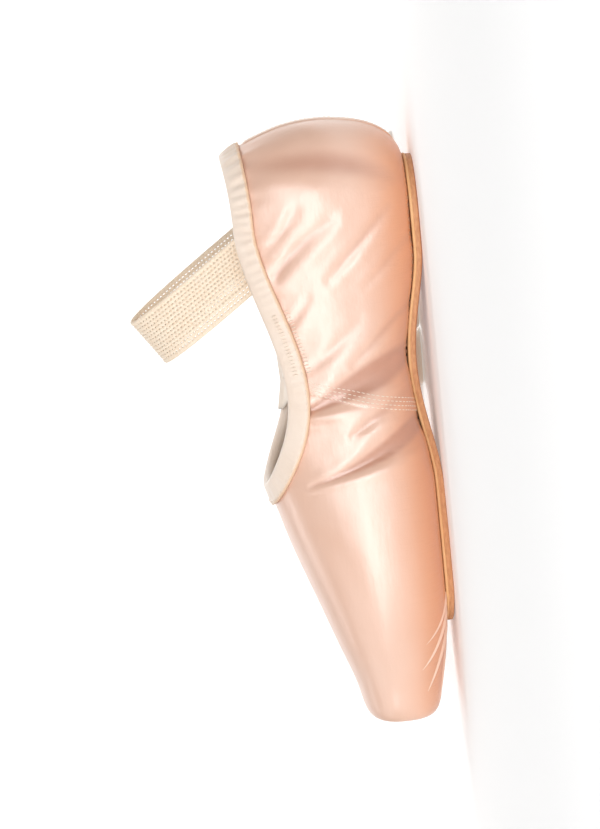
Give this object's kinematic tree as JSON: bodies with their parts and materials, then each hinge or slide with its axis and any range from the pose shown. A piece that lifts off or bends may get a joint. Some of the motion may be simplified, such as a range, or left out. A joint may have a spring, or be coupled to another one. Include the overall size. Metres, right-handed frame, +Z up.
{
  "type": "pointe shoe",
  "caption": "Satin pointe shoe with a stiff box and flat platform, pleated toe, narrow leather outsole, bound topline, elastic over the ankle and two loose ribbons.",
  "frame": {"origin": "on the floor under the middle of the shoe's box", "axes": "+X to the toe, +Y to the shoe's left, +Z up"},
  "size_m": [0.2421, 0.2197, 0.1112],
  "materials": {
    "satin": "peach-pink satin with a soft sheen",
    "sole_leather": "thin tan leather, smooth at the waist and scored at the forefoot",
    "insole_cloth": "plain matt cotton",
    "binding": "cream satin tape",
    "elastic": "open woven cream elastic",
    "ribbon": "cream satin ribbon"
  },
  "bodies": {
    "root": {"upper": "satin", "outsole": "sole_leather", "insole": "insole_cloth", "collar_binding": "binding", "elastic_strap": "elastic", "ribbon_left": "ribbon", "ribbon_right": "ribbon"}
  },
  "joints": []
}
